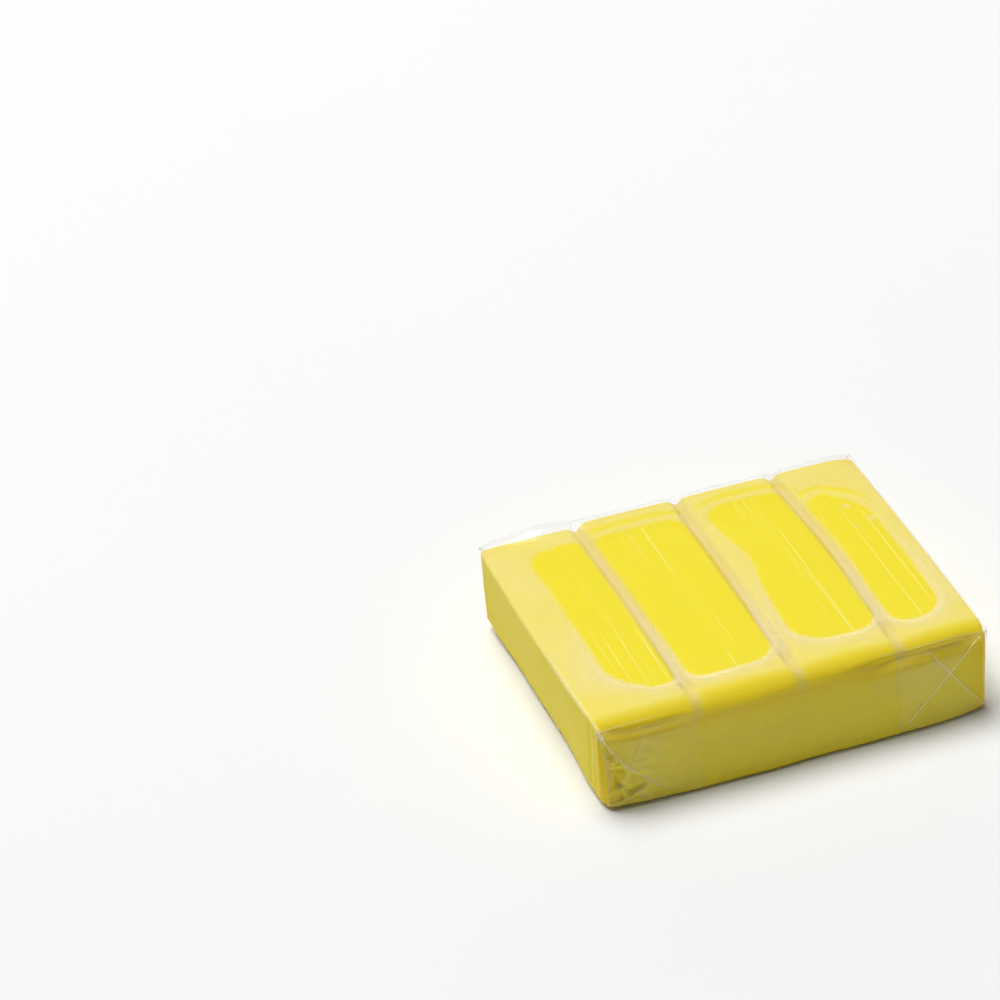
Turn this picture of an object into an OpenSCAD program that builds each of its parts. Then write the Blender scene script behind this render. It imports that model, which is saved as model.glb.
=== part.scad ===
// Detailing clay bar in its clear wrapper.
// The bar lies flat: X runs across the scores, Y along the scores, +Z is up.
// The origin is the centre of the underside.
// The wrapper is one film, closed as an envelope at both ends: two side tucks,
// then a bottom flap, then a top flap that lies outermost and lifts first.

/* [Bar] */
// Length of the wrapped bar, across the scores
bar_length = 71; // [62:1:90]
// Width of the wrapped bar, along the scores
bar_width = 60; // [50:1:76]
// Height of the wrapped bar
bar_height = 17; // [14:0.5:21]

/* [Clay] */
// Distance from one score to the next
score_pitch = 18.8; // [15:0.1:20]
// How far the middle score lies to the right of the bar's centre
score_offset = 0.8; // [-1.5:0.1:1.5]
// Width of each score at the top face
score_width = 2.4; // [1:0.1:3.2]
// Depth of each score
score_depth = 1.8; // [0.6:0.1:4]
// Radius along the clay's front top edge
front_edge_radius = 4; // [3:0.1:5]
// Radius along the clay's other three top edges
top_edge_radius = 2; // [1.5:0.1:4]
// Radius along the clay's bottom edges
bottom_edge_radius = 2; // [1.5:0.1:4]
// Radius of the clay's four upright corners
upright_radius = 3; // [2:0.5:6]

/* [Film] */
// Thickness of the film
film_t = 0.1; // [0.08:0.01:0.14]
// Outer radius of the film along the bar's four long edges
film_radius = 1.2; // [0.6:0.1:1.4]
// How far the film's front top crease lies below the top
crease_drop = 1.1; // [0.4:0.1:1.2]
// Length of the slope from the film's flat top down to that crease
slope_length = 3.8; // [3:0.1:6]
// Width of the lap seam under the bar
seam_lap = 8; // [4:0.5:12]
// How far the film is folded over each end, as a share of the height
fold_share = 0.88; // [0.7:0.01:0.96]
// Width of each side tuck
tuck_width = 17; // [12:0.5:20]
// How far each side of the top flap slopes in for each millimetre of its length
top_flap_slope = 0.95; // [0.5:0.01:1]
// How far each side of the bottom flap slopes in for each millimetre of its length
bottom_flap_slope = 0.65; // [0.5:0.01:1]

/* [Hidden] */
$fn = 64;

clay_color = [0.95, 0.88, 0.25];
film_color = [0.97, 0.94, 0.78, 0.4];

flap_gap = 0.05; // clearance behind the moving top flap
plies_at_end = 5; // tuck, bottom flap and top flap, the flaps doubled at their sides
flap_plies = 2; // a flap and the gusset folded in behind it
slack = 1; // how far a cutting shape runs past what it cuts

fold_length = fold_share * bar_height;
front_crease = bar_height - crease_drop;
back_crease = bar_height;
sleeve_width = bar_width - 2 * (flap_plies * film_t + flap_gap);
clay_length = bar_length - 2 * film_t;
clay_width = bar_width - 2 * (plies_at_end * film_t + flap_gap);
clay_bottom = 2 * film_t;
clay_height = bar_height - film_t - clay_bottom;

score_x = [for (i = [-1, 0, 1]) score_offset + i * score_pitch];
// Where each portion begins, and where the last one ends
portion_x = concat([-clay_length / 2], score_x, [clay_length / 2]);

// A rectangle standing on its base, centred on the first axis, with rounded corners
module rounded_section(width, height, bottom_r, top_r) {
    translate([-width / 2 + bottom_r, 0])
        square([width - 2 * bottom_r, height / 2]);
    translate([-width / 2 + top_r, height / 2])
        square([width - 2 * top_r, height / 2]);
    translate([-width / 2, bottom_r])
        square([width, height - bottom_r - top_r]);
    for (side = [-1, 1]) {
        translate([side * (width / 2 - bottom_r), bottom_r])
            circle(r = bottom_r);
        translate([side * (width / 2 - top_r), height - top_r])
            circle(r = top_r);
    }
}

// The clay seen from the right: its front top edge is the more rounded
module clay_side_section() {
    rounded_section(clay_width, clay_height, bottom_edge_radius, front_edge_radius);
    translate([clay_width / 4, 0])
        rounded_section(clay_width / 2, clay_height, bottom_edge_radius, top_edge_radius);
}

// Runs a section drawn in X and Z along Y
module along_y(length) {
    rotate([90, 0, 0])
        linear_extrude(height = length, center = true)
            children();
}

// Runs a section drawn in Y and Z along X
module along_x(length) {
    rotate([90, 0, 90])
        linear_extrude(height = length, center = true)
            children();
}

module clay_block() {
    translate([0, 0, clay_bottom])
        intersection() {
            along_y(clay_width)
                rounded_section(clay_length, clay_height, bottom_edge_radius, top_edge_radius);
            along_x(clay_length)
                clay_side_section();
            translate([0, -clay_width / 2, 0])
                linear_extrude(height = clay_height)
                    rounded_section(clay_length, clay_width, upright_radius, upright_radius);
        }
}

// One score: a V across the whole top face, with its tip down
module score() {
    translate([0, 0, clay_bottom + clay_height])
        along_y(clay_width + 2 * slack)
            polygon([
                [-score_width / 2, 0],
                [0, -score_depth],
                [score_width / 2, 0],
                [score_width / 2, slack],
                [-score_width / 2, slack]
            ]);
}

// One break-off portion, from the middle of one score to the middle of the next
module clay_portion(index) {
    start = portion_x[index];
    end = portion_x[index + 1];
    color(clay_color)
        difference() {
            intersection() {
                clay_block();
                translate([start, -clay_width / 2 - slack, 0])
                    cube([end - start, clay_width + 2 * slack, bar_height]);
            }
            for (x = score_x)
                translate([x, 0, 0])
                    score();
        }
}

module clay_portion_1() {
    clay_portion(0);
}

module clay_portion_2() {
    clay_portion(1);
}

module clay_portion_3() {
    clay_portion(2);
}

module clay_portion_4() {
    clay_portion(3);
}

// The space inside the sleeve, which trims the folded film to the sleeve's corners
module sleeve_inside() {
    translate([0, film_t])
        rounded_section(
            bar_length - 2 * film_t, bar_height - 2 * film_t,
            film_radius - film_t, film_radius - film_t
        );
}

module sleeve_outside() {
    rounded_section(bar_length, bar_height, film_radius, film_radius);
}

// What lies under the film's top, which slopes down to the front crease
module under_roof(drop) {
    front = -bar_width / 2 - slack;
    slope_start = -bar_width / 2 + slope_length;
    along_x(bar_length + 2 * slack)
        polygon([
            [front, -slack],
            [bar_width / 2 + slack, -slack],
            [bar_width / 2 + slack, bar_height - drop],
            [slope_start, bar_height - drop],
            [front, bar_height - drop - crease_drop * (1 + slack / slope_length)]
        ]);
}

// The film where it goes once round the bar
module film_sleeve() {
    color(film_color)
        difference() {
            intersection() {
                along_y(sleeve_width)
                    sleeve_outside();
                under_roof(0);
            }
            intersection() {
                along_y(bar_width)
                    sleeve_inside();
                under_roof(film_t);
            }
        }
}

// The inner ply of the lap seam, between the sleeve and the clay's underside
module film_seam_lap() {
    color(film_color)
        translate([-seam_lap / 2, -clay_width / 2, film_t])
            cube([seam_lap, clay_width, film_t]);
}

// Folded film at the front end. Plies count inwards from the outermost, and the
// section is drawn in X and Z.
module front_plies(first, count, behind_gap) {
    thickness = count * film_t;
    outer_y = -bar_width / 2 + first * film_t + behind_gap;
    translate([0, outer_y + thickness / 2, 0])
        along_y(thickness)
            children();
}

// A tuck: the side of the sleeve folded in flat on the end of the clay
module tuck(side, crease) {
    tuck_height = crease - film_t;
    color(film_color)
        front_plies(4, 1, flap_gap)
            intersection() {
                sleeve_inside();
                translate([side * (bar_length - tuck_width) / 2, tuck_height / 2])
                    square([tuck_width, tuck_height], center = true);
            }
}

// A flap's outline, hanging from its crease and sloping in on both sides
module flap_outline(slope, crease) {
    half = bar_length / 2;
    crease_half = half - slope * (bar_height - crease);
    polygon([
        [-crease_half, crease],
        [crease_half, crease],
        [half - slope * fold_length, bar_height - fold_length],
        [-half + slope * fold_length, bar_height - fold_length]
    ]);
}

// The gussets folded in behind a flap at its two sides
module gusset_outline(slope, crease) {
    inset = slope * fold_length;
    for (side = [-1, 1])
        intersection() {
            flap_outline(slope, crease);
            translate([side * (bar_length / 2 - inset / 2), bar_height / 2])
                square([inset, bar_height], center = true);
        }
}

module bottom_flap() {
    color(film_color) {
        front_plies(2, 1, flap_gap)
            intersection() {
                sleeve_inside();
                upside_down()
                    flap_outline(bottom_flap_slope, bar_height);
            }
        front_plies(3, 1, flap_gap)
            intersection() {
                sleeve_inside();
                upside_down()
                    gusset_outline(bottom_flap_slope, bar_height);
            }
    }
}

module upside_down() {
    translate([0, bar_height])
        mirror([0, 1])
            children();
}

module top_flap(crease) {
    color(film_color) {
        front_plies(0, 1, 0)
            intersection() {
                sleeve_outside();
                flap_outline(top_flap_slope, crease);
            }
        front_plies(1, 1, 0)
            intersection() {
                sleeve_outside();
                gusset_outline(top_flap_slope, crease);
            }
    }
}

// The back end is folded like the front end, turned half round
module at_back() {
    rotate([0, 0, 180])
        children();
}

module front_left_tuck() {
    tuck(-1, front_crease);
}

module front_right_tuck() {
    tuck(1, front_crease);
}

module front_bottom_flap() {
    bottom_flap();
}

module front_top_flap() {
    top_flap(front_crease);
}

module back_left_tuck() {
    at_back()
        tuck(1, back_crease);
}

module back_right_tuck() {
    at_back()
        tuck(-1, back_crease);
}

module back_bottom_flap() {
    at_back()
        bottom_flap();
}

module back_top_flap() {
    at_back()
        top_flap(back_crease);
}

clay_portion_1();
clay_portion_2();
clay_portion_3();
clay_portion_4();
film_sleeve();
film_seam_lap();
front_left_tuck();
front_right_tuck();
front_bottom_flap();
front_top_flap();
back_left_tuck();
back_right_tuck();
back_bottom_flap();
back_top_flap();
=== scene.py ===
"""A detailing clay bar in its clear wrapper: the looks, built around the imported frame.

Lengths are worked out in millimetres, in the frame's own axes, and turned into metres as each
mesh is made. X runs across the scores, Y along them, and +Z is up. The front end is at -Y.
"""
import math

import bpy
import numpy as np
from mathutils import Matrix, Vector


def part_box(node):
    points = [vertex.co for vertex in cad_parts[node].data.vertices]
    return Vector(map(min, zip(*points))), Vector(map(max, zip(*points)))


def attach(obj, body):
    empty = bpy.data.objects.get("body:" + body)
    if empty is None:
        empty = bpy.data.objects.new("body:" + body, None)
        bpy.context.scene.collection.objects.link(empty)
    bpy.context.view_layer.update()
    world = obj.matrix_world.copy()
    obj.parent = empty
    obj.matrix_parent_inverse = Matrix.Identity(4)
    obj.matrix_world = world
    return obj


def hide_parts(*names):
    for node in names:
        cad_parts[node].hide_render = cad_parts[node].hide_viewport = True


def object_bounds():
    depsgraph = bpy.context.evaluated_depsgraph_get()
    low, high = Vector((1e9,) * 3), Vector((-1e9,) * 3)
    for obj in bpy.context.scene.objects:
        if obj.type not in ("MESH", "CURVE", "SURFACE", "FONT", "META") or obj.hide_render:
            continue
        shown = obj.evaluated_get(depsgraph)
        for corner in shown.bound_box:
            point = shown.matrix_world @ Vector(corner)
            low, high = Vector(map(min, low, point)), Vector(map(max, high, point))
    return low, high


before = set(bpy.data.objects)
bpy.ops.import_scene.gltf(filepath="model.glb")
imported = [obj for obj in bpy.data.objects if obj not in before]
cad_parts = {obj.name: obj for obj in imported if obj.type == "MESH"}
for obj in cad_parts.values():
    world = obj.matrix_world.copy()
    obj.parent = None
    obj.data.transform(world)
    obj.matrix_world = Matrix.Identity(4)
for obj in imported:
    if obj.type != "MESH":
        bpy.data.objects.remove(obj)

cad_low, cad_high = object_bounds()

# ---------------------------------------------------------------- sizes, in millimetres
MM = 0.001
HALF_LENGTH = cad_high.x / MM
HALF_WIDTH = cad_high.y / MM
HEIGHT = cad_high.z / MM
SCORES = [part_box(f"clay_portion_{i}")[1].x / MM for i in (1, 2, 3)]
PORTION_EDGES = [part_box("clay_portion_1")[0].x / MM, *SCORES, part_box("clay_portion_4")[1].x / MM]
SEAM_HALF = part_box("film_seam_lap")[1].x / MM

FILM = 0.03            # thickness of the film
PLY = 0.06             # from one ply at an end to the next
TOP = HEIGHT - 0.15    # the level that the film is stretched to
PRESSED = 0.16         # how far the film is pressed down where it clings to the clay
GAP = 0.05             # from the film's inner face to the clay it clings to
SLACK = 0.05           # from the square bar's sides to the film
CLAY_SIDE = HALF_LENGTH - SLACK - FILM - GAP
CLAY_END = HALF_WIDTH - SLACK - 5 * PLY - GAP
CLAY_BOTTOM = 0.12
CLAY_TOP = TOP - PRESSED - FILM - GAP
EDGE_HIGH = 0.6        # height of the film's rounded long edges
EDGE_WIDE = 0.45       # and their width
FOOT_EDGE = 0.9        # height and width of its rounded edges at the foot
FOOT_LENGTH = (HALF_WIDTH - 0.25) / HALF_WIDTH    # the underside's share of the film's length
SCORE_HALF = 1.4       # half the width of a score
GROOVE_SHADE_HALF = 1.35       # and of the brownish shade painted in it
FLAP_SIDE = HALF_LENGTH - 0.3    # where a flap's root ends
FLAP_EDGE = 0.12       # from a flap's edge to the first point beside it
SLOPE_START = -25.4    # where the top begins to fall towards the front crease


def smoothstep(low, high, value):
    t = np.clip((value - low) / (high - low), 0.0, 1.0)
    return t * t * (3.0 - 2.0 * t)


def bell(value, width):
    return np.exp(-((value / width) ** 2))


def near_scores(x, width):
    return sum(bell(x - score, width) for score in SCORES)


def waves(seed, scale, *coords, count=7):
    """A smooth field, mostly between -1 and 1, of features about scale across."""
    rng = np.random.default_rng(seed)
    total = 0.0
    for _ in range(count):
        direction = rng.normal(size=len(coords))
        direction *= rng.uniform(0.6, 1.5) * 2 * math.pi / (scale * 2.2 * np.linalg.norm(direction))
        total = total + np.sin(sum(d * c for d, c in zip(direction, coords)) + rng.uniform(0, 2 * math.pi))
    return total / math.sqrt(count * 1.5)


# ---------------------------------------------------------------- where the film clings to the top
# Each patch: left, right, front and back limits, and its corner radii
# (front left, front right, back left, back right)
PATCHES = [
    (-28.6, SCORES[0] - 1.2, -21.4, 24.8, (8.5, 1.5, 5.0, 2.0)),
    (SCORES[0] + 1.2, SCORES[1] - 1.3, -22.1, 24.2, (3.5, 5.0, 2.0, 3.0)),
    (SCORES[1] + 3.3, SCORES[2] - 1.2, -20.9, 24.6, (6.0, 4.0, 4.0, 2.0)),
    (SCORES[2] + 1.4, 31.0, -22.0, 20.2, (3.5, 6.0, 4.0, 10.0)),
]
# Air bubbles left in the patches: centre and radius
BUBBLES = [(27.6, 14.6, 0.8), (30.2, 9.6, 0.9), (26.4, 7.8, 0.5), (29.4, 17.0, 0.5), (-24.6, 24.6, 0.7)]


def patch_distance(x, y):
    """How far a point of the top is outside the nearest patch, less than 0 inside one."""
    x = x + 0.25 * waves(11, 9.0, x, y) - 1.9 * bell(y - 6.0, 6.5) * bell(x - SCORES[1] - 4.0, 4.0)
    y = y + 0.35 * waves(12, 11.0, x, y)
    nearest = np.full(np.shape(x), 1e3)
    for left, right, front, back, radii in PATCHES:
        px, py = x - (left + right) / 2, y - (front + back) / 2
        r = np.where(py < 0, np.where(px < 0, radii[0], radii[1]), np.where(px < 0, radii[2], radii[3]))
        qx, qy = np.abs(px) - (right - left) / 2 + r, np.abs(py) - (back - front) / 2 + r
        inside = np.minimum(np.maximum(qx, qy), 0.0)
        nearest = np.minimum(nearest, inside + np.hypot(np.maximum(qx, 0), np.maximum(qy, 0)) - r)
    for cx, cy, r in BUBBLES:
        nearest = np.maximum(nearest, r - np.hypot(x - cx, y - cy))
    return nearest


# ---------------------------------------------------------------- how far the bar is from square
# Lines that run along the bar: where each would be on a square bar, and how far to the right of
# that it stands at the front, in the middle and at the back
LINES = [
    (-HALF_LENGTH, (0.7, -0.4, -0.6)),
    (SCORES[0], (1.2, 1.2, 0.1)),
    (SCORES[1], (1.0, 1.0, 0.7)),
    (SCORES[2], (0.3, 1.7, 0.3)),
    (HALF_LENGTH, (0.3, 0.7, 0.6)),
]


def out_of_square(points):
    """Bends the square bar's points into the real bar's slightly uneven shape. Its lines bow, the
    foot of the front stands out, the foot of the left side leans in, and its left edge is lifted."""
    x, y, z = np.moveaxis(np.asarray(points), -1, 0)
    t = np.clip(y / HALF_WIDTH, -1.1, 1.1)
    shifts = [f * t * (t - 1) / 2 + m * (1 - t * t) + b * t * (t + 1) / 2 for _, (f, m, b) in LINES]
    along = np.interp(x, [line for line, _ in LINES], range(len(LINES)))
    low = np.clip(np.floor(along).astype(int), 0, len(LINES) - 2)
    part = along - low
    part = part * part * (3 - 2 * part)
    shifts = np.array(shifts)
    first = np.take_along_axis(shifts, low[None], 0)[0]
    second = np.take_along_axis(shifts, low[None] + 1, 0)[0]
    down = np.clip(1 - z / HEIGHT, 0, 1)
    left = x + HALF_LENGTH
    lift = 1.1 * bell(np.hypot(left, y - HALF_WIDTH), 9.0) + 0.4 * smoothstep(3.0, 0.0, left)
    sag = 1.7 * down * smoothstep(14.0, 0.0, y + HALF_WIDTH) * np.clip(1 - (x / HALF_LENGTH) ** 6, 0, 1)
    lean = 1.1 * down ** 2 * smoothstep(12.0, 0.0, left)
    lean = lean * smoothstep(-26.0, -8.0, y) * smoothstep(33.0, 10.0, y)
    return np.stack([x + first + (second - first) * part + lean, y - sag, z + lift * down], axis=-1)


# ---------------------------------------------------------------- the film's front crease
def crease_softness(x):
    """1 where the film rolls over the front edge, 0 where it is creased sharply."""
    return smoothstep(-31.0, -19.0, x) * smoothstep(18.5, 12.0, x)


def crease_depth(x):
    """How far the front crease lies below the top."""
    corner = smoothstep(4.5, 0.0, HALF_LENGTH - np.abs(x))
    return 0.75 + 0.5 * smoothstep(-35.0, -29.0, x) * smoothstep(19.0, 13.0, x) - 0.3 * corner


def crease_inset(x):
    """How far the front crease lies behind the face of the end."""
    return 0.12 + 0.45 * crease_softness(x)


def front_fall(x, y):
    """How far the film's top has fallen towards the front crease."""
    t = np.clip((SLOPE_START - y) / (SLOPE_START + HALF_WIDTH - crease_inset(x)), 0.0, 1.0)
    square = 1.0 - 0.65 * crease_softness(x)
    return crease_depth(x) * t ** 2 * (square + (1 - square) * t ** 2)


def from_side(x):
    """How far inside the nearer side of the bar."""
    return HALF_LENGTH - np.abs(x)


def back_rise(x):
    """How far the film's back crease stands above the top: it is loose there, mostly on the left."""
    loose = 0.8 * bell(x + 24.0, 7.0) + 0.3 * bell(x - 28.0, 5.0) + 0.06 * waves(15, 7.0, x)
    return 0.05 + (0.25 + loose) * smoothstep(0.0, 4.0, from_side(x))


def back_reach(x):
    """How far the film's back crease stands out beyond the face of the end."""
    return 0.15 + (0.2 + 0.4 * bell(x + 24.0, 8.0)) * smoothstep(0.0, 4.0, from_side(x))


def back_full(x):
    """1 where the clay reaches right up to the film's back crease."""
    return smoothstep(-20.0, -15.0, x)


# ---------------------------------------------------------------- the top
def pillows(x):
    """The top sinks a little towards each score."""
    return 0.14 * near_scores(x, 3.0)


def clay_level(x, y):
    """Height of the clay's top face, but for its scores, its fine lines and its rounded outer edges."""
    left = 0.15 * smoothstep(5.0, 0.0, HALF_LENGTH + x)
    right = 0.3 * smoothstep(6.0, 0.0, HALF_LENGTH - x)
    back = 0.3 * smoothstep(21.0, 28.5, y) * back_full(x) * smoothstep(0.0, 4.0, HALF_LENGTH - x)
    return CLAY_TOP - pillows(x) - left - right + back + 0.025 * waves(22, 7.0, x, y)


def clay_top(x, y):
    """Height of the clay's top face, before its outer edges are rounded."""
    deep = 0.85 - 0.75 * smoothstep(-22.5, -27.5, y)
    grooves = sum(np.cos(np.clip((x - s) / SCORE_HALF, -1, 1) * math.pi / 2) ** 1.3 for s in SCORES)
    return clay_level(x, y) - deep * grooves + 0.012 * waves(21, 0.9, x, y * 0.02)


def film_top(x, y):
    """Height of the film's outer face over the top."""
    outside = patch_distance(x, y)
    clinging = smoothstep(1.6, -0.4, outside)
    ridge = 0.05 * bell(outside - 2.4, 1.6) * smoothstep(-27.5, -24.5, y)
    bridge = 0.16 * near_scores(x, 1.0)
    ripple = 0.04 * waves(31, 6.0, x, y) * smoothstep(0.0, 2.5, outside)
    right = 0.36 * smoothstep(4.0, 0.0, HALF_LENGTH - x) * smoothstep(29.0, 26.0, y)
    free = TOP - front_fall(x, y) + back_rise(x) * smoothstep(26.5, 30.0, y)
    free = free + ridge - bridge - 0.6 * pillows(x) - right + ripple
    touching = clay_level(x, y) + FILM + GAP
    free = np.maximum(free, touching)
    return free + (touching - free) * clinging


def top_haze(x, y):
    """How milky the film looks: 0 where it clings, and 1 over a gap, where the veil is partly the film's own
    haze and partly painted reflection off its extra surfaces. It is more where a highlight is painted as
    the film lifts off the patches and along its front crease.
    """
    outside = patch_distance(x, y)
    gap = smoothstep(-0.4, 0.6, outside)
    # Where the film lifts off the front borders of the patches, a painted highlight makes it paler.
    lift = 1.9 * smoothstep(-0.3, 1.0, outside) * np.exp(-np.maximum(outside, 0) / 1.8)
    lift = lift * smoothstep(8.0, -20.0, y)
    behind = smoothstep(24.0, 26.0, y) * smoothstep(-18.0, -15.0, x)
    behind = behind + smoothstep(13.0, 19.0, y) * smoothstep(20.0, 22.0, x)
    clear = 0.8 * bell(outside - 2.4, 0.9) * np.clip(behind, 0, 1)
    onto_front = smoothstep(-28.0, -24.8, y + 0.5 * waves(33, 9.0, x, y * 0.2))
    cloud = 1.0 + 0.1 * waves(32, 5.0, x, y) - 0.28 * smoothstep(-18.0, -23.0, y)
    band = 0.75 * near_scores(x, 1.0) * smoothstep(-30.0, -27.0, y)
    # A painted highlight along the film's sharp front crease.
    crease_highlight = 1.6 * smoothstep(-29.55, -29.8, y) * (1 - crease_softness(x))
    return np.maximum((gap * cloud + lift - clear) * onto_front, band) + crease_highlight


# ---------------------------------------------------------------- meshes
def new_piece(name, points, faces, material, values):
    mesh = bpy.data.meshes.new(name)
    mesh.from_pydata((out_of_square(points) * MM).tolist(), [], faces)
    mesh.polygons.foreach_set("use_smooth", [True] * len(mesh.polygons))
    for key, numbers in values.items():
        attribute = mesh.attributes.new(key, "FLOAT", "POINT")
        attribute.data.foreach_set("value", np.ravel(numbers).astype(np.float32))
    mesh.materials.append(material)
    mesh.update()
    piece = bpy.data.objects.new(name, mesh)
    bpy.context.scene.collection.objects.link(piece)
    return piece


def grid_normals(grid):
    """Unit normals of a grid of points whose rows and columns turn anticlockwise, seen from outside."""
    u, v = np.gradient(grid, axis=0), np.gradient(grid, axis=1)
    normals = np.cross(u, v)
    return normals / np.maximum(np.linalg.norm(normals, axis=2, keepdims=True), 1e-9)


def film_sheet(name, grid, haze, shine, material):
    """A closed thin solid: the grid is its outer face, and its inner face lies one thickness below."""
    rows, columns = grid.shape[:2]
    count = rows * columns
    index = np.arange(count).reshape(rows, columns)
    a, b, c, d = index[:-1, :-1], index[1:, :-1], index[1:, 1:], index[:-1, 1:]
    faces = np.stack([a, b, c, d], axis=-1).reshape(-1, 4).tolist()
    faces += (np.stack([d, c, b, a], axis=-1).reshape(-1, 4) + count).tolist()
    rim = [*index[0, :], *index[1:, -1], *index[-1, -2::-1], *index[-2:0:-1, 0]]
    for start, end in zip(rim, rim[1:] + rim[:1]):
        faces.append([int(start), int(end), int(end) + count, int(start) + count])
    points = np.concatenate([grid.reshape(-1, 3), (grid - FILM * grid_normals(grid)).reshape(-1, 3)])
    inner = np.zeros(count)
    values = {"haze": np.concatenate([np.ravel(haze), inner]),
              "shine": np.concatenate([np.ravel(shine + 0 * haze), inner])}
    return new_piece(name, points, faces, material, values)


def spaced(start, end, fine, step, fine_length):
    """Stations from start to end, close together near both ends."""
    near = np.linspace(0, fine_length, fine + 1)
    count = max(2, round((end - start - 2 * fine_length) / step) + 1)
    middle = np.linspace(start + fine_length, end - fine_length, count)
    return np.concatenate([start + near[:-1], middle, end - near[::-1][1:]])


# ---------------------------------------------------------------- shared by the film and the clay
def upright_radius(z):
    """Film radius round an upright corner at a height: sharp at the top and bottom, fuller between."""
    return 0.5 + 1.0 * np.clip(1 - np.abs(2 * z / HEIGHT - 1) ** 3, 0, 1)


def side_relief(side, y, z):
    """How far a side wall is pressed in."""
    hollow = 0.12 * bell(z - HEIGHT / 2, 5.0)
    pleats = 0.1 * (1 + waves(44, 1.5, y + 0.08 * z))
    pleats = pleats * smoothstep(-23.0, -26.5, y) * smoothstep(-30.2, -29.4, y)
    return (hollow + 0.05 * waves(41, 8.0, y, z + 5 * side)) * smoothstep(29.0, 20.0, np.abs(y)) + pleats


def crumple(seed, scale, x, z):
    """Sharp-edged folds, as in crushed film."""
    return 1.0 - 2.2 * np.abs(waves(seed, scale, x, z, count=5))


def path_distance(x, z, path):
    """How far a point is from a path of straight lines."""
    nearest = np.full(np.shape(x + z), 1e3)
    for (x0, z0), (x1, z1) in zip(path, path[1:]):
        along = ((x - x0) * (x1 - x0) + (z - z0) * (z1 - z0)) / ((x1 - x0) ** 2 + (z1 - z0) ** 2)
        along = np.clip(along, 0, 1)
        nearest = np.minimum(nearest, np.hypot(x - x0 - along * (x1 - x0), z - z0 - along * (z1 - z0)))
    return nearest


# Creases in the crushed film near the left of an end: where each runs, its half width, how far it
# stands out (less than 0 where it sinks in) and how strong a highlight is painted along it
CREASES = [
    (((-33.0, 6.8), (-32.8, 5.3), (-32.0, 4.4), (-31.0, 3.4), (-30.1, 2.9), (-28.6, 4.1)), 0.4, -0.5, 0.0),
    (((-34.4, 3.4), (-32.9, 4.2), (-31.8, 4.3)), 0.5, 0.45, 0.3),
    (((-34.2, 0.8), (-31.0, 2.0), (-29.9, 2.7), (-28.1, 3.7)), 0.4, 0.35, 1.0),
    (((-29.8, 6.3), (-29.9, 3.4)), 0.35, -0.35, 0.0),
    (((-33.1, 10.6), (-33.2, 9.6)), 0.35, 0.5, 1.5),
    (((-34.0, 10.3), (-33.8, 9.3)), 0.3, 0.4, 1.3),
    (((-33.6, 8.6), (-31.6, 8.9), (-30.6, 7.2)), 0.35, 0.3, 0.35),
    (((-34.0, 7.8), (-31.8, 7.6)), 0.4, -0.35, 0.0),
    (((-32.4, 2.6), (-31.2, 0.9)), 0.35, -0.35, 0.0),
    (((-29.0, 2.8), (-28.3, 1.5)), 0.85, 0.15, 0.9),
    (((-34.6, 13.4), (-34.6, 1.6)), 0.16, 0.12, 1.0),
    (((-34.2, 13.0), (-34.15, 6.0)), 0.2, -0.2, 0.0),
]


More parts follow.
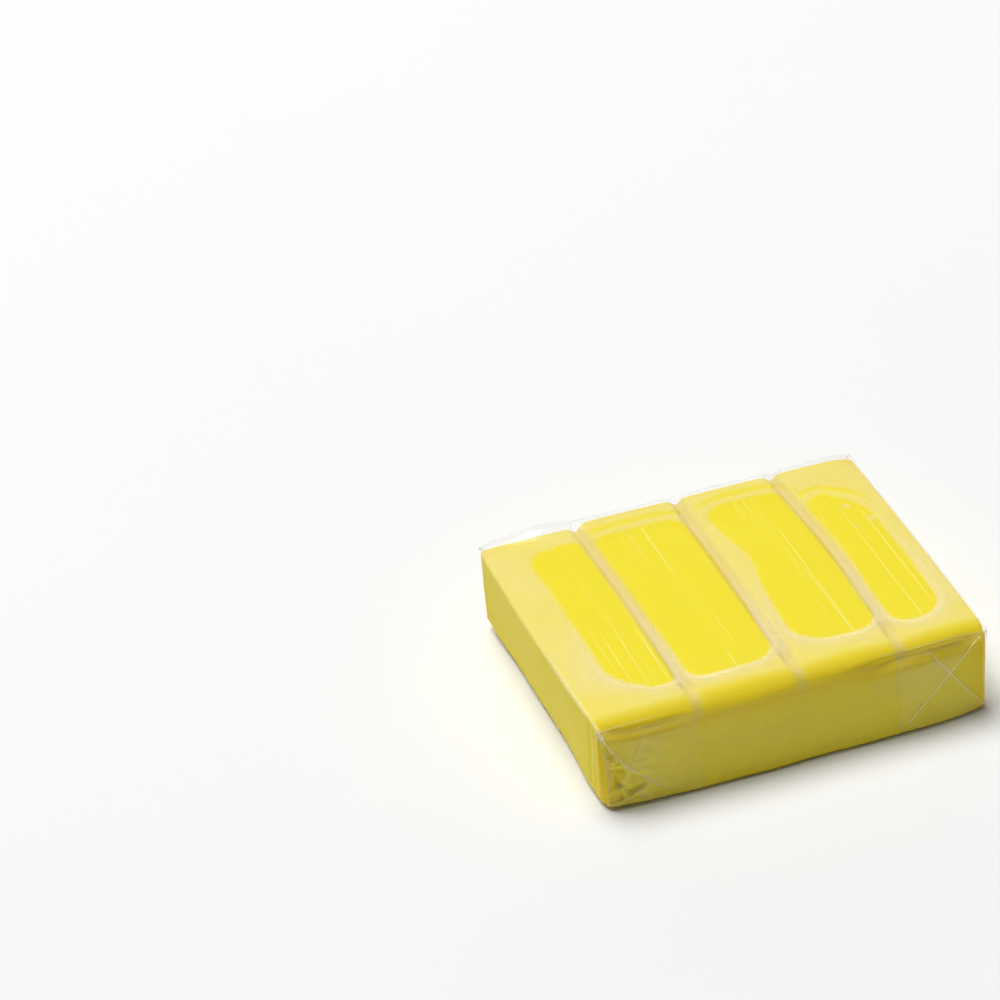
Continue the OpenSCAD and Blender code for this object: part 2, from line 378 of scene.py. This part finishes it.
class End:
    """One end of the bar, drawn as if it were the front: x to the right, out towards the viewer."""

    def __init__(self, word, turned, top_edges, bottom_edges, seed):
        self.word, self.turned, self.seed = word, turned, seed
        self.top_edges, self.bottom_edges = top_edges, bottom_edges
        self.sign = -1 if turned else 1

    def place(self, x, out, z):
        """Points of this end in the frame's own axes."""
        return np.stack(np.broadcast_arrays(self.sign * x, -self.sign * out, z), axis=-1)

    def crease(self, x):
        """Height of the top crease."""
        return TOP + (back_rise(-x) if self.turned else -crease_depth(x))

    def relief(self, x, z):
        """How far the face stands out of its plane, which all the plies and the clay share, and how
        far the loose film at the back stands out beyond that."""
        slow = 0.11 * waves(self.seed, 8.0, x, z) + 0.035 * waves(self.seed + 1, 3.0, x, z)
        down = self.crease(x) - z
        right = bell(down - 1.7, 1.1) * smoothstep(6.0, 18.0, x) * smoothstep(35.3, 28.5, x)
        left = bell(down - 1.3, 0.8) * smoothstep(-34.5, -32.0, x) * smoothstep(-18.0, -24.0, x)
        under_crease = right + 0.55 * left
        folds = sum(height * bell(path_distance(x, z, path), width) for path, width, height, _ in CREASES)
        folds = folds * (0.45 if self.turned else 1.0)
        corner = x + HALF_LENGTH
        crushed = smoothstep(14.0, 6.0, corner) * smoothstep(1.0, 4.0, corner) * smoothstep(15.0, 9.0, z)
        crushed = 0.12 * crushed * crumple(self.seed + 2, 2.2, x, z)
        stand_off = back_reach(-x) * bell(down, 1.6) if self.turned else 0.0
        return slow - under_crease + folds + crushed - 0.16, stand_off

    def crinkle_highlights(self, x, z):
        """Painted highlights along the sharp folds of crushed film, near the left of the end."""
        corner = x + HALF_LENGTH
        region = smoothstep(12.0, 6.0, corner + 0.5 * z) * smoothstep(1.2, 2.5, corner)
        region = region * smoothstep(13.5, 9.0, z)
        fine = 0.35 * bell(waves(self.seed + 11, 2.2, x, z, count=5), 0.1) * region
        lines = sum(pale * bell(path_distance(x, z, path), 0.7 * width) for path, width, _, pale in CREASES)
        return fine + lines

    def face(self, x, z):
        """How far out along Y the outermost ply lies."""
        r = upright_radius(z)
        over = np.clip(np.abs(x) - (HALF_LENGTH - SLACK - r), 0, r * 0.999)
        corner = r - np.sqrt(r ** 2 - over ** 2)
        soft = 0 * x if self.turned else crease_softness(x)
        inset, length = 0.12 + 0.45 * soft, 0.35 + 1.3 * soft
        roll = inset * np.clip(1 - (self.crease(x) - z) / length, 0, 1) ** 2
        foot = 0.22 * np.clip(1 - z / 0.7, 0, 1) ** 2
        flat = smoothstep(0.0, 1.0, self.crease(x) - z) * smoothstep(0.0, 1.5, z)
        pressed, stand_off = self.relief(x, z)
        return HALF_WIDTH - corner - roll - foot + pressed * flat + stand_off


ENDS = [
    End("front", False, ((10.6, 1.5), (15.6, 1.0)), ((7.9, 1.0), (10.6, 1.0)), 60),
    End("back", True, ((14.0, 1.0), (13.0, 1.1)), ((9.5, 1.0), (10.4, 1.0)), 80),
]


# ---------------------------------------------------------------- the clay
def round_pair(p, q, limit_p, limit_q, r):
    """Rounds the corner where both coordinates reach their limits. r is the radius for each."""
    r_p, r_q = r
    dp, dq = (p - (limit_p - r_p)) / r_p, (q - (limit_q - r_q)) / r_q
    both = (dp > 0) & (dq > 0)
    scale = np.where(both, np.maximum(dp, dq) / np.maximum(np.hypot(dp, dq), 1e-9), 1.0)
    new_p, new_q = limit_p - r_p + dp * scale * r_p, limit_q - r_q + dq * scale * r_q
    return np.where(both, new_p, p), np.where(both, new_q, q)


def box_surface(xs, ys, zs):
    """The points and faces of a box whose faces are ruled at the given stations."""
    number, points, faces = {}, [], []

    def point(i, j, k):
        if (i, j, k) not in number:
            number[i, j, k] = len(points)
            points.append((xs[i], ys[j], zs[k]))
        return number[i, j, k]

    def face(*corners):
        faces.append([point(*corner) for corner in corners])

    nx, ny, nz = len(xs) - 1, len(ys) - 1, len(zs) - 1
    for i in range(nx):
        for j in range(ny):
            face((i, j, nz), (i + 1, j, nz), (i + 1, j + 1, nz), (i, j + 1, nz))
            face((i, j, 0), (i, j + 1, 0), (i + 1, j + 1, 0), (i + 1, j, 0))
        for k in range(nz):
            face((i, 0, k), (i + 1, 0, k), (i + 1, 0, k + 1), (i, 0, k + 1))
            face((i, ny, k), (i, ny, k + 1), (i + 1, ny, k + 1), (i + 1, ny, k))
    for j in range(ny):
        for k in range(nz):
            face((0, j, k), (0, j, k + 1), (0, j + 1, k + 1), (0, j + 1, k))
            face((nx, j, k), (nx, j + 1, k), (nx, j + 1, k + 1), (nx, j, k + 1))
    return np.array(points), faces


# How the clay's long edges are rounded: 1 for the top and -1 for the bottom, then the radii, across
# and up, at the sides, at the front and at the back
CLAY_EDGES = [
    (1, (0.8, 0.7), (4.2, 3.4), (0.5, 0.45)),
    (-1, (1.1, 1.1), (0.7, 0.7), (0.9, 0.9)),
]
CLAY_UPRIGHTS = (1.1, 1.1)


def clay_portion(index, material):
    """One break-off portion, from the middle of one score to the middle of the next."""
    left = -CLAY_SIDE if index == 0 else PORTION_EDGES[index]
    right = CLAY_SIDE if index == 3 else PORTION_EDGES[index + 1]
    stations = spaced(left, right, 12, 0.45, 3.0)
    if index == 0:
        stations = np.concatenate([np.linspace(left, left + 8, 33)[:-1], spaced(left + 8, right, 12, 0.45, 3.0)])
    points, faces = box_surface(
        np.concatenate([[left, left + 0.004], stations[1:-1], [right - 0.004, right]]),
        spaced(-CLAY_END, CLAY_END, 14, 0.6, 4.6),
        spaced(CLAY_BOTTOM, CLAY_TOP, 14, 0.27, 3.6),
    )
    x, y, z = points.T
    side, ahead = np.sign(x), np.sign(y)
    middle, half_height = (CLAY_TOP + CLAY_BOTTOM) / 2, (CLAY_TOP - CLAY_BOTTOM) / 2
    for up, r_side, r_front, r_back in CLAY_EDGES:
        here = (z - middle) * up > 0
        ax, az = round_pair(np.abs(x), np.abs(z - middle), CLAY_SIDE, half_height, r_side)
        x, z = np.where(here, side * ax, x), np.where(here, middle + up * az, z)
        for facing, r in ((-1, r_front), (1, r_back)):
            end = here & (y * facing > 0)
            ay, az = round_pair(np.abs(y), np.abs(z - middle), CLAY_END, half_height, r)
            y, z = np.where(end, ahead * ay, y), np.where(end, middle + up * az, z)
    ax, ay = round_pair(np.abs(x), np.abs(y), CLAY_SIDE, CLAY_END, CLAY_UPRIGHTS)
    x, y = side * ax, ahead * ay
    z = CLAY_BOTTOM + (z - CLAY_BOTTOM) * (clay_top(x, y) - CLAY_BOTTOM) / (CLAY_TOP - CLAY_BOTTOM)
    for end in ENDS:
        near = smoothstep(6.0, 0.0, HALF_WIDTH + end.sign * y)
        pressed, stand_off = end.relief(end.sign * x, z)
        y = y - end.sign * near * (pressed * smoothstep(0.5, 2.5, TOP - z) + stand_off * back_full(x))
    near = smoothstep(6.0, 0.0, from_side(x)) * smoothstep(0.5, 2.0, TOP - z)
    x = x - side * side_relief(side, y, z) * near
    # corner: where an orange tint is painted for interreflected light, near the upright corners and over the
    # front roll.
    upright = np.minimum(smoothstep(5.0, 0.5, from_side(x)), smoothstep(5.0, 0.5, HALF_WIDTH - np.abs(y)))
    # score: where painted shade, brownish, darkens the scores.
    score = sum(np.clip(np.cos(np.clip((x - s) / GROOVE_SHADE_HALF, -1, 1) * math.pi / 2), 0, 1) for s in SCORES)
    score = score * smoothstep(4.0, 2.0, TOP - z)
    painted_roll_bounce = 0.85 * smoothstep(-25.5, -28.5, y) * smoothstep(6.0, 3.0, TOP - z)
    drawn = smoothstep(2.5, 1.0, TOP - z) * smoothstep(0.2, -0.6, patch_distance(x, y))
    values = {"corner": np.maximum(upright, painted_roll_bounce), "score": score, "drawn": drawn}
    return new_piece(f"clay_piece_{index + 1}", np.stack([x, y, z], axis=1), faces, material, values)


# ---------------------------------------------------------------- the film
def underside(x, y):
    """Height of the film under the bar."""
    return 0.03 + 0.012 * waves(51, 10.0, x, y)


def side_wall(z, along, side):
    """The film on a side wall and round its upright corners. along is from the bar's middle."""
    r = upright_radius(z)
    reach = np.abs(along) * (HALF_WIDTH + (math.pi / 2 - 1) * r) / HALF_WIDTH
    turn = np.clip((reach - (HALF_WIDTH - r)) / r, 0, math.pi / 2)
    y = np.sign(along) * np.where(turn > 0, HALF_WIDTH - r + r * np.sin(turn), reach)
    x = side * (HALF_LENGTH - SLACK - r * (1 - np.cos(turn)) - side_relief(side, y, z) * np.cos(turn))
    return x, y, turn


def sleeve_grid():
    """The film where it goes once round the bar, from the lap seam back to the lap seam."""
    along = spaced(-HALF_WIDTH, HALF_WIDTH, 26, 0.4, 8.0)
    arc = np.linspace(0, math.pi / 2, 6)[1:-1]
    points, haze, shine = [], [], []

    def row(x, y, z, milk, gloss=0.25):
        points.append(np.stack(np.broadcast_arrays(x, y, z), axis=-1))
        haze.append(np.broadcast_to(milk, along.shape))
        shine.append(np.broadcast_to(gloss, along.shape))

    def top_y(x):
        front = along / HALF_WIDTH * (HALF_WIDTH - crease_inset(x))
        return np.where(along < 0, front, along + (back_reach(x) - 0.12) * smoothstep(24.0, 30.0, along))

    def bottom(xs, outer):
        for x in xs:
            lift = 0.0 if outer else PLY * smoothstep(-SEAM_HALF - 6, -SEAM_HALF, x)
            milk = 0.55 + 0.25 * waves(52, 9.0, x + 0 * along, along)
            row(x, along * FOOT_LENGTH, underside(x + 0 * along, along) + lift, milk)

    def shoulder(side):
        """Heights where the side wall meets the rounded long edge."""
        return film_top(side * (HALF_LENGTH - EDGE_WIDE) + 0 * along, top_y(side * HALF_LENGTH)) - EDGE_HIGH

    def wall(side, shares):
        for share in shares:
            z = FOOT_EDGE + (shoulder(side) - FOOT_EDGE) * share
            x, y, turn = side_wall(z, along, side)
            # Painted highlights near the top of the wall: along its top edge, on its pleats near the front, and
            # at the front top corner where the film pinches.
            milk = 0.01 + 0.03 * waves(42, 7.0, y, z + 3 * side) + 0.4 * smoothstep(0.93, 1.0, share)
            pleats = 0.9 * bell(waves(43, 1.6, y, z * 0.06), 0.15) * smoothstep(-22.0, -27.0, y)
            pleats = pleats + 2.0 * bell(share - 0.95, 0.06) * smoothstep(-27.5, -29.6, y)
            milk = np.clip(milk * (1 - 0.7 * smoothstep(0.25, 0.9, turn)), 0, 2)
            row(x, y, z, milk + pleats, 0.08)

    def edge(side, upper, turns):
        """The rounded long edge between a side wall and the top or the bottom."""
        z_wall = shoulder(side) if upper else FOOT_EDGE + 0 * along
        x_wall, y_wall, _ = side_wall(z_wall, along, side)
        x_flat = side * (HALF_LENGTH - (EDGE_WIDE if upper else FOOT_EDGE))
        y_flat = top_y(x_flat) if upper else along * FOOT_LENGTH
        z_flat = film_top(x_flat + 0 * along, y_flat) if upper else 0.03 + 0 * along
        # A painted highlight along the rounded top edges, stronger towards the front.
        milk = 0.9 + 1.2 * smoothstep(5.0, -20.0, along) if upper else 0.3
        for t in turns:
            s, c = math.sin(t), math.cos(t)
            row(x_flat + (x_wall - x_flat) * c, y_flat + (y_wall - y_flat) * (1 - s),
                z_wall + (z_flat - z_wall) * s, milk, 0.6)

    bottom(np.linspace(-SEAM_HALF, -HALF_LENGTH + FOOT_EDGE, 34), False)
    edge(-1, False, arc[::-1])
    wall(-1, np.linspace(0, 1, 30))
    edge(-1, True, arc)
    for x in np.linspace(-HALF_LENGTH + EDGE_WIDE, HALF_LENGTH - EDGE_WIDE, 200):
        across, y = x + 0 * along, top_y(x)
        row(x, y, film_top(across, y), top_haze(across, y), 1.0 + 1.5 * smoothstep(28.0, 29.5, y))
    edge(1, True, arc[::-1])
    wall(1, np.linspace(1, 0, 30))
    edge(1, False, arc)
    bottom(np.linspace(HALF_LENGTH - FOOT_EDGE, -SEAM_HALF - 0.5, 44), True)
    return np.array(points), np.array(haze), np.array(shine)


def flap_grid(end, upper):
    """A flap with its gussets folded in behind both sides, as one sheet."""
    left, right = end.top_edges if upper else end.bottom_edges
    near = np.array([0, 0.008, 0.02, 0.036, 0.055, 0.08])
    bead = np.linspace(0, math.pi, 7)
    points, haze, shine = [], [], []
    for gone in np.concatenate([near, np.linspace(0.11, 1.0, 52)]):
        edge_l = -(FLAP_SIDE - left[0] * gone ** left[1])
        edge_r = FLAP_SIDE - right[0] * gone ** right[1]
        behind_l = np.linspace(-(FLAP_SIDE - left[0]), edge_l - FLAP_EDGE, 36)
        behind_r = np.linspace(edge_r + FLAP_EDGE, FLAP_SIDE - right[0], 22)
        front_l = np.linspace(edge_l + FLAP_EDGE, edge_l + 9, 38)
        front = np.concatenate([front_l, np.linspace(edge_l + 9, edge_r - FLAP_EDGE, 100)[1:]])
        x = np.concatenate([behind_l, edge_l - 0.5 * PLY * np.sin(bead), front,
                            edge_r + 0.5 * PLY * np.sin(bead), behind_r])
        depth = np.concatenate([1 + 0 * behind_l, 0.5 + 0.5 * np.cos(bead), 0 * front,
                                0.5 - 0.5 * np.cos(bead), 1 + 0 * behind_r])
        root, tip = (end.crease(x), 2.0) if upper else (0.08, 14.6)
        z = root + gone * (tip - root) + 0 * x
        ply = 0.5 if upper else 2.5
        to_edge = np.minimum(np.abs(x - edge_l), np.abs(x - edge_r))
        loose = 0.1 * smoothstep(0.75, 1.0, gone) * (1 + waves(end.seed + 3, 12.0, x)) if upper else 0.0
        points.append(end.place(x, end.face(x, z) - (ply + depth) * PLY + loose, z))
        low = smoothstep(9.0, 3.0, z + 0.8 * waves(end.seed + 4, 8.0, x))
        low = low * smoothstep(9.0, 16.0, from_side(x))
        milk = 0.05 + 0.06 * waves(end.seed + 5, 6.0, x, z) + 0.05 * waves(end.seed + 6, 1.1, x, z, count=12)
        milk = milk * (1 - 0.85 * low)
        if upper:
            down = end.crease(x) - z
            milk = milk * smoothstep(1.4, 4.0, down)
            # A painted highlight along the top crease.
            milk = milk + 0.4 * bell(down, 0.12) * (1 if end.turned else 1 - crease_softness(x))
        if upper:
            pale, bright, plain = 2.0, 6.0, 0.5
        else:
            pale, bright, plain = np.where(x < 0, 0.5, 1.5), np.where(x < 0, 0.0, 5.0), 0.25
        fold_line = bell(to_edge, 0.1)
        free_edge = 0.4 * smoothstep(0.985, 1.0, gone)
        # The pale lines along the folded edges are partly the doubled film's own scatter and partly a painted
        # highlight.
        haze.append(np.clip(milk, 0, 2) * (1 - 0.4 * (depth > 0.9)) + pale * fold_line + free_edge)
        shine.append(plain + bright * fold_line)
    sheet = [np.array(points), np.array(haze), np.array(shine)]
    return [rows[::-1] for rows in sheet] if upper else sheet


def tuck_grid(end, side):
    """A side tuck. side is -1 on the left and 1 on the right."""
    width, foot, head = 17.2, 0.5, TOP - 1.6
    points, haze = [], []
    for share in np.linspace(0, 1, 64):
        z = foot + (head - foot) * share
        r = float(upright_radius(z))
        edge = width + 0.25 * math.sin(z * 0.8)
        u = np.concatenate([np.linspace(r + SLACK, 8.0, 34)[:-1], np.linspace(8.0, edge, 24)])
        x = side * (HALF_LENGTH - u)
        z = z + share * (end.crease(x) - TOP + 1.45)
        sunk = 4.6 * smoothstep(r, r + 2.0, u)
        points.append(end.place(x, end.face(x, z) - sunk * PLY, z))
        milk = 0.06 + 0.12 * smoothstep(r, r + 4.0, u) + 0.06 * waves(end.seed + 9, 4.0, x, z)
        free_edge = (0.25 if side < 0 else 0.8) * smoothstep(width - 0.45, width - 0.1, u)
        # Painted highlights along the crushed film's creases.
        haze.append(np.clip(milk, 0, 2) + free_edge + 1.3 * end.crinkle_highlights(x, z))
    grid, milk = np.array(points), np.array(haze)
    return (grid, milk) if side < 0 else (grid[::-1], milk[::-1])


# ---------------------------------------------------------------- materials
class Tree:
    """A material's nodes, made one by one."""

    def __init__(self, name):
        self.material = bpy.data.materials.new(name)
        self.material.use_nodes = True
        self.tree = self.material.node_tree
        self.tree.nodes.clear()

    def add(self, kind, inputs=None, **settings):
        node = self.tree.nodes.new("ShaderNode" + kind)
        for key, value in settings.items():
            setattr(node, key, value)
        for key, value in (inputs or {}).items():
            if isinstance(value, bpy.types.NodeSocket):
                self.tree.links.new(value, node.inputs[key])
            else:
                node.inputs[key].default_value = value
        return node

    def math(self, operation, first, second=0.0, clamp=False):
        return self.add("Math", {0: first, 1: second}, operation=operation, use_clamp=clamp).outputs[0]

    def ramp(self, value, low, high, start=0.0, end=1.0):
        inputs = {"Value": value, "From Min": low, "From Max": high, "To Min": start, "To Max": end}
        return self.add("MapRange", inputs).outputs["Result"]

    def blend(self, factor, first, second):
        return self.add("Mix", {"Factor": factor, "A": first, "B": second}, data_type="RGBA").outputs["Result"]

    def finish(self, shader):
        self.add("OutputMaterial", {"Surface": shader})
        return self.material


def clay_material():
    """Yellow clay: fine grain, lines drawn along it where it was pressed out, an orange tint painted at its
    corners and over its front roll for interreflected light, and a brownish painted shade in its scores."""
    t = Tree("clay")
    place = t.add("TexCoord").outputs["Object"]
    broad = t.add("TexNoise", {"Vector": place, "Scale": 90.0, "Detail": 3.0}).outputs["Fac"]
    grain = t.add("TexNoise", {"Vector": place, "Scale": 1500.0, "Detail": 4.0, "Roughness": 0.65}).outputs["Fac"]
    along = t.add("Mapping", {"Vector": place, "Scale": (1.0, 0.006, 0.1)}).outputs["Vector"]
    drawn = t.add("TexNoise", {"Vector": along, "Scale": 2600.0, "Detail": 2.0, "Roughness": 0.6}).outputs["Fac"]
    patchy = {"Vector": place, "Scale": (1.0, 0.16, 1.0), "Location": (0.013, 0.004, 0)}
    where = t.add("Mapping", patchy).outputs["Vector"]
    some = t.add("TexNoise", {"Vector": where, "Scale": 120.0, "Detail": 1.0}).outputs["Fac"]
    scratches = t.math("MULTIPLY", t.ramp(drawn, 0.6, 0.68), t.ramp(some, 0.42, 0.56))
    on_top = t.add("Attribute", attribute_name="drawn").outputs["Fac"]
    scratches = t.math("MULTIPLY", scratches, on_top)
    corner = t.add("Attribute", attribute_name="corner").outputs["Fac"]
    score = t.add("Attribute", attribute_name="score").outputs["Fac"]
    base = t.blend(broad, (0.86, 0.70, 0.03, 1), (0.86, 0.73, 0.042, 1))
    # Painted interreflected light: an orange tint at the corners and over the front roll.
    painted_corner_bounce = t.blend(t.math("MULTIPLY", corner, 0.75), base, (0.86, 0.62, 0.022, 1))
    # Painted shade in the scores, brownish.
    painted_groove_shade = t.blend(t.math("MULTIPLY", score, 0.85), painted_corner_bounce, (0.75, 0.59, 0.1, 1))
    pale = t.blend(t.math("MULTIPLY", scratches, 0.6), painted_groove_shade, (0.96, 0.9, 0.36, 1))
    height = t.math("ADD", t.math("MULTIPLY", grain, 0.3), t.math("MULTIPLY", drawn, on_top))
    bump = t.add("Bump", {"Height": height, "Strength": 0.25, "Distance": 0.0002}).outputs["Normal"]
    clay = t.add("BsdfPrincipled", {"Base Color": pale, "Roughness": t.ramp(grain, 0.3, 0.7, 0.4, 0.55),
                                    "Specular IOR Level": 0.05, "Normal": bump})
    return t.finish(clay.outputs["BSDF"])


VEIL = 0.175           # how much of the film is white where it lies off the clay


def film_material(name, painted_bounce_tint, cream_from, cream_to):
    """Clear film with a white veil, which turns yellowish between two levels of haze: painted light bounced
    up from the yellow clay into its lines and folds.
    """
    t = Tree(name)
    place = t.add("TexCoord").outputs["Object"]
    haze = t.add("Attribute", attribute_name="haze").outputs["Fac"]
    fine = t.add("TexNoise", {"Vector": place, "Scale": 420.0, "Detail": 4.0, "Roughness": 0.6}).outputs["Fac"]
    cloud = t.ramp(fine, 0.25, 0.75, 0.92, 1.08)
    milk = t.math("MULTIPLY", t.math("MULTIPLY", haze, cloud), VEIL, clamp=True)
    ripple = t.add("TexNoise", {"Vector": place, "Scale": 260.0, "Detail": 2.0}).outputs["Fac"]
    bump = t.add("Bump", {"Height": ripple, "Strength": 0.15, "Distance": 0.0005}).outputs["Normal"]
    # Painted light bounced from the yellow clay tints the veil between the two haze levels.
    tone = t.blend(t.ramp(haze, cream_from, cream_to), (0.98, 0.965, 0.93, 1), painted_bounce_tint)
    white = t.add("BsdfPrincipled", {"Base Color": tone, "Roughness": 0.5, "Specular IOR Level": 0.0})
    clear = t.add("BsdfTransparent")
    body = t.add("MixShader", {0: milk, 1: clear.outputs[0], 2: white.outputs[0]})
    mirror = t.add("BsdfGlossy", {"Color": (1, 1, 1, 1), "Roughness": 0.16, "Normal": bump})
    facing = t.add("LayerWeight", {"Blend": 0.5, "Normal": bump}).outputs["Facing"]
    fresnel = t.math("ADD", t.math("MULTIPLY", t.math("POWER", facing, 5.0), 0.75), 0.02)
    shine = t.math("MULTIPLY", fresnel, t.add("Attribute", attribute_name="shine").outputs["Fac"])
    shine = t.math("MINIMUM", shine, 0.5)
    film = t.add("MixShader", {0: shine, 1: body.outputs[0], 2: mirror.outputs[0]})
    return t.finish(film.outputs[0])


def floor_material():
    t = Tree("floor")
    place = t.add("TexCoord").outputs["Object"]
    grain = t.add("TexNoise", {"Vector": place, "Scale": 6.0, "Detail": 2.0}).outputs["Fac"]
    tone = t.blend(grain, (0.84, 0.84, 0.84, 1), (0.86, 0.86, 0.857, 1))
    floor = t.add("BsdfPrincipled", {"Base Color": tone, "Roughness": 0.7, "Specular IOR Level": 0.1})
    return t.finish(floor.outputs["BSDF"])


# ---------------------------------------------------------------- the object
def settle(piece, body, node):
    """Ties a piece to the body it rides on, and hides the CAD node it stands for."""
    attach(piece, body)
    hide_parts(node)


clay = clay_material()
clear_film = film_material("film", (1.0, 0.96, 0.72, 1), 1.3, 2.4)
folded_film = film_material("folded film", (1.0, 0.95, 0.5, 1), -0.1, 0.5)

for i in range(4):
    settle(clay_portion(i, clay), "wrapped_bar", f"clay_portion_{i + 1}")

settle(film_sheet("wrapper_sleeve", *sleeve_grid(), clear_film), "wrapped_bar", "film_sleeve")

lap_x = np.linspace(SEAM_HALF, -SEAM_HALF, 14)[:, None]
lap_y = np.linspace(-HALF_WIDTH + 0.7, HALF_WIDTH - 0.7, 100)[None, :]
lap = np.stack(np.broadcast_arrays(lap_x, lap_y, underside(lap_x, lap_y) + PLY), axis=-1)
lap_haze = 0.6 + 0.5 * smoothstep(SEAM_HALF - 0.5, SEAM_HALF, lap_x) + 0 * lap_y
settle(film_sheet("wrapper_seam_lap", lap, lap_haze, 0.4, clear_film), "wrapped_bar", "film_seam_lap")

for end in ENDS:
    for side, word in ((-1, "left"), (1, "right")):
        settle(film_sheet(f"wrapper_{end.word}_{word}_tuck", *tuck_grid(end, side), 0.4, folded_film),
               "wrapped_bar", f"{end.word}_{word}_tuck")
    settle(film_sheet(f"wrapper_{end.word}_bottom_flap", *flap_grid(end, False), folded_film),
           "wrapped_bar", f"{end.word}_bottom_flap")
    settle(film_sheet(f"wrapper_{end.word}_top_flap", *flap_grid(end, True), folded_film),
           f"{end.word}_flap", f"{end.word}_top_flap")

# ---------------------------------------------------------------- the stage
FLOOR = 15.0           # half the floor's width, in metres
floor_mesh = bpy.data.meshes.new("floor")
floor_corners = [(-FLOOR, -FLOOR, 0), (FLOOR, -FLOOR, 0), (FLOOR, FLOOR, 0), (-FLOOR, FLOOR, 0)]
floor_mesh.from_pydata(floor_corners, [], [[0, 1, 2, 3]])
floor_mesh.materials.append(floor_material())
floor = bpy.data.objects.new("floor", floor_mesh)
floor.location.z = -0.00002
bpy.context.scene.collection.objects.link(floor)


def soft_light(name, place, aim, size, power):
    data = bpy.data.lights.new(name, "AREA")
    data.shape, data.size, data.size_y = "RECTANGLE", size[0], size[1]
    data.energy = power
    lamp = bpy.data.objects.new(name, data)
    lamp.location = place
    lamp.rotation_euler = (Vector(aim) - Vector(place)).to_track_quat("-Z", "Y").to_euler()
    bpy.context.scene.collection.objects.link(lamp)


soft_light("overhead", (-0.55, 1.05, 3.35), (0, 0, 0), (2.3, 2.3), 150.0)
soft_light("behind", (0.8, 4.0, 0.9), (0, 0, 0.02), (4.5, 1.2), 30.0)
soft_light("low_right", (3.4, -0.9, 0.7), (0, 0, 0), (1.6, 0.8), 4.0)

# The sky is brightest at the horizon
world = bpy.data.worlds.new("studio")
world.use_nodes = True
sky = world.node_tree.nodes
background = sky["Background"]
background.inputs["Color"].default_value = (1, 1, 1, 1)
direction = sky.new("ShaderNodeSeparateXYZ")
world.node_tree.links.new(sky.new("ShaderNodeTexCoord").outputs["Generated"], direction.inputs[0])
glow = sky.new("ShaderNodeMapRange")
world.node_tree.links.new(direction.outputs["Z"], glow.inputs["Value"])
for key, value in (("From Min", 0.0), ("From Max", 0.18), ("To Min", 0.7), ("To Max", 0.06)):
    glow.inputs[key].default_value = value
world.node_tree.links.new(glow.outputs["Result"], background.inputs["Strength"])
bpy.context.scene.world = world
bpy.context.scene.view_settings.view_transform = "Standard"
bpy.context.scene.cycles.transparent_max_bounces = 48

# ---------------------------------------------------------------- the camera
camera_data = bpy.data.cameras.new("camera")
camera_data.sensor_width = 36.0
camera_data.lens = 129.6
camera_data.clip_start, camera_data.clip_end = 0.01, 20.0
camera = bpy.data.objects.new("camera", camera_data)
place, aim, roll = Vector((-0.1745, -0.4846, 0.3747)), Vector((-0.0205, 0.0679, 0.0)), math.radians(5.3)
towards = (aim - place).to_track_quat("-Z", "Y").to_matrix().to_4x4()
camera.matrix_world = Matrix.Translation(place) @ towards @ Matrix.Rotation(-roll, 4, "Z")
bpy.context.scene.collection.objects.link(camera)
bpy.context.scene.camera = camera
